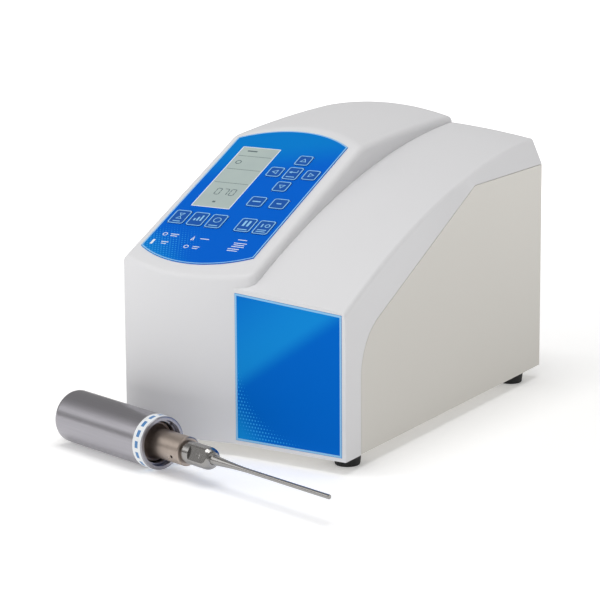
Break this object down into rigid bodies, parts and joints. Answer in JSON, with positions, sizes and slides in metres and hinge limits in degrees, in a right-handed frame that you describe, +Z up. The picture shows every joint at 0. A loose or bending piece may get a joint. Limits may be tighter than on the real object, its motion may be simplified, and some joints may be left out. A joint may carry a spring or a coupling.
{
  "type": "ultrasonic cell disruptor",
  "caption": "Ultrasonic cell disruptor: bench generator with a raised sloping keypad console, rear fan and power inlet, and a hand-held converter with a screw-on microtip horn.",
  "frame": {"origin": "on the bench under the middle of the generator's case", "axes": "+X to the viewer's right facing the front, +Y towards the rear panel, +Z up"},
  "size_m": [0.2913, 0.4595, 0.2243],
  "materials": {
    "moulded_grey": "fine-textured light grey moulding",
    "painted_steel": "warm light grey powder coat",
    "label_blue": "printed blue film",
    "overlay_blue": "printed polyester film, blue",
    "display_window": "clear display window",
    "display_glass": "reflective liquid crystal cell",
    "key_blue": "printed key cap, dark blue with pale marks",
    "circuit_board": "green solder mask on glass-epoxy",
    "dome_metal": "stainless snap dome",
    "black_rubber": "moulded rubber",
    "zinc_screw": "zinc-plated steel",
    "fan_black": "glass-filled black plastic",
    "guard_chrome": "bright nickel wire",
    "inlet_black": "black moulding",
    "pin_nickel": "nickel-plated brass",
    "fuse_glass": "glass cartridge fuse",
    "connector_nickel": "nickel-plated shell",
    "aluminium_plain": "extruded aluminium",
    "capacitor_sleeve": "shrink sleeve",
    "ferrite": "sintered ferrite",
    "copper_winding": "enamelled copper wire",
    "converter_shell": "satin turned aluminium",
    "label_band_white": "printed film",
    "driver_titanium": "turned titanium alloy",
    "seal_rubber": "rubber ring",
    "piezo_ceramic": "silvered piezo ceramic",
    "electrode_copper": "beryllium copper",
    "stack_steel": "turned tool steel"
  },
  "bodies": {
    "generator": {"top_cover": "moulded_grey", "chassis": "painted_steel", "rear_panel": "painted_steel", "front_label": "label_blue", "keypad_overlay": "overlay_blue", "lcd_window": "display_window", "lcd_module": "display_glass", "keypad_board": "circuit_board", "dome_switches": "dome_metal", "board_screws": "zinc_screw", "feet": "black_rubber", "foot_screws": "zinc_screw", "cover_screws": "zinc_screw", "fan_frame": "fan_black", "fan_guard": "guard_chrome", "fan_screws": "zinc_screw", "power_inlet": "inlet_black", "inlet_pins": "pin_nickel", "switch_bezel": "inlet_black", "converter_port": "connector_nickel", "port_screws": "zinc_screw", "remote_connector": "connector_nickel", "main_board": "circuit_board", "standoffs": "connector_nickel", "standoff_screws": "zinc_screw", "heat_sink": "aluminium_plain", "capacitors": "capacitor_sleeve", "output_transformer": "ferrite", "transformer_windings": "copper_winding", "mains_filter": "connector_nickel"},
    "fan_rotor": {"fan_rotor": "fan_black"},
    "fuse_drawer": {"fuse_drawer": "inlet_black", "fuses": "fuse_glass"},
    "power_rocker": {"power_rocker": "inlet_black"},
    "converter": {"converter_case": "converter_shell", "front_ring": "converter_shell", "converter_label": "label_band_white", "rear_socket": "connector_nickel", "front_driver": "driver_titanium", "nodal_ring": "seal_rubber", "piezo_discs": "piezo_ceramic", "electrodes": "electrode_copper", "back_mass": "stack_steel", "stack_bolt": "stack_steel"},
    "horn_stud": {"horn_stud": "stack_steel"},
    "horn": {"horn": "driver_titanium"},
    "key_up": {"key_up": "key_blue"},
    "key_left": {"key_left": "key_blue"},
    "key_enter": {"key_enter": "key_blue"},
    "key_right": {"key_right": "key_blue"},
    "key_down": {"key_down": "key_blue"},
    "key_mode": {"key_mode": "key_blue"},
    "key_clear": {"key_clear": "key_blue"},
    "key_timer": {"key_timer": "key_blue"},
    "key_amplitude": {"key_amplitude": "key_blue"},
    "key_setup": {"key_setup": "key_blue"},
    "key_pause": {"key_pause": "key_blue"},
    "key_start": {"key_start": "key_blue"}
  },
  "joints": [
    {"name": "key_up_press", "type": "slide", "parent": "generator", "child": "key_up", "axis": [0, 0.3899, -0.9208], "range_m": [0, 0.0004], "stiffness_N_per_m": 1500},
    {"name": "key_left_press", "type": "slide", "parent": "generator", "child": "key_left", "axis": [0, 0.3899, -0.9208], "range_m": [0, 0.0004], "stiffness_N_per_m": 1500},
    {"name": "key_enter_press", "type": "slide", "parent": "generator", "child": "key_enter", "axis": [0, 0.3899, -0.9208], "range_m": [0, 0.0004], "stiffness_N_per_m": 1500},
    {"name": "key_right_press", "type": "slide", "parent": "generator", "child": "key_right", "axis": [0, 0.3899, -0.9208], "range_m": [0, 0.0004], "stiffness_N_per_m": 1500},
    {"name": "key_down_press", "type": "slide", "parent": "generator", "child": "key_down", "axis": [0, 0.3899, -0.9208], "range_m": [0, 0.0004], "stiffness_N_per_m": 1500},
    {"name": "key_mode_press", "type": "slide", "parent": "generator", "child": "key_mode", "axis": [0, 0.3899, -0.9208], "range_m": [0, 0.0004], "stiffness_N_per_m": 1500},
    {"name": "key_clear_press", "type": "slide", "parent": "generator", "child": "key_clear", "axis": [0, 0.3899, -0.9208], "range_m": [0, 0.0004], "stiffness_N_per_m": 1500},
    {"name": "key_timer_press", "type": "slide", "parent": "generator", "child": "key_timer", "axis": [0, 0.3899, -0.9208], "range_m": [0, 0.0004], "stiffness_N_per_m": 1500},
    {"name": "key_amplitude_press", "type": "slide", "parent": "generator", "child": "key_amplitude", "axis": [0, 0.3899, -0.9208], "range_m": [0, 0.0004], "stiffness_N_per_m": 1500},
    {"name": "key_setup_press", "type": "slide", "parent": "generator", "child": "key_setup", "axis": [0, 0.3899, -0.9208], "range_m": [0, 0.0004], "stiffness_N_per_m": 1500},
    {"name": "key_pause_press", "type": "slide", "parent": "generator", "child": "key_pause", "axis": [0, 0.3899, -0.9208], "range_m": [0, 0.0004], "stiffness_N_per_m": 1500},
    {"name": "key_start_press", "type": "slide", "parent": "generator", "child": "key_start", "axis": [0, 0.3899, -0.9208], "range_m": [0, 0.0004], "stiffness_N_per_m": 1500},
    {"name": "fan_spin", "type": "hinge", "parent": "generator", "child": "fan_rotor", "pos_m": [-0.046, 0.15, 0.112], "axis": [0, 1, 0], "continuous": true},
    {"name": "fuse_drawer_slide", "type": "slide", "parent": "generator", "child": "fuse_drawer", "axis": [0, 1, 0], "range_m": [0, 0.018]},
    {"name": "power_rocker_tilt", "type": "hinge", "parent": "generator", "child": "power_rocker", "pos_m": [0.062, 0.1645, 0.098], "axis": [1, 0, 0], "range_deg": [-22, 0]},
    {"name": "converter_lift", "type": "slide", "parent": "generator", "child": "converter", "axis": [0, 0, 1], "range_m": [0, 0.15]},
    {"name": "horn_stud_travel", "type": "slide", "parent": "converter", "child": "horn_stud", "axis": [0.948, -0.3181, 0], "range_m": [0, 0.01058]},
    {"name": "horn_unscrew", "type": "hinge", "parent": "horn_stud", "child": "horn", "pos_m": [0.00379, -0.22896, 0.0205], "axis": [0.948, -0.3181, 0], "range_deg": [0, 3600]}
  ],
  "couplings": [
    {"joint": "horn_unscrew", "follows": "horn_stud_travel", "rad_per_m": 5937.1}
  ]
}
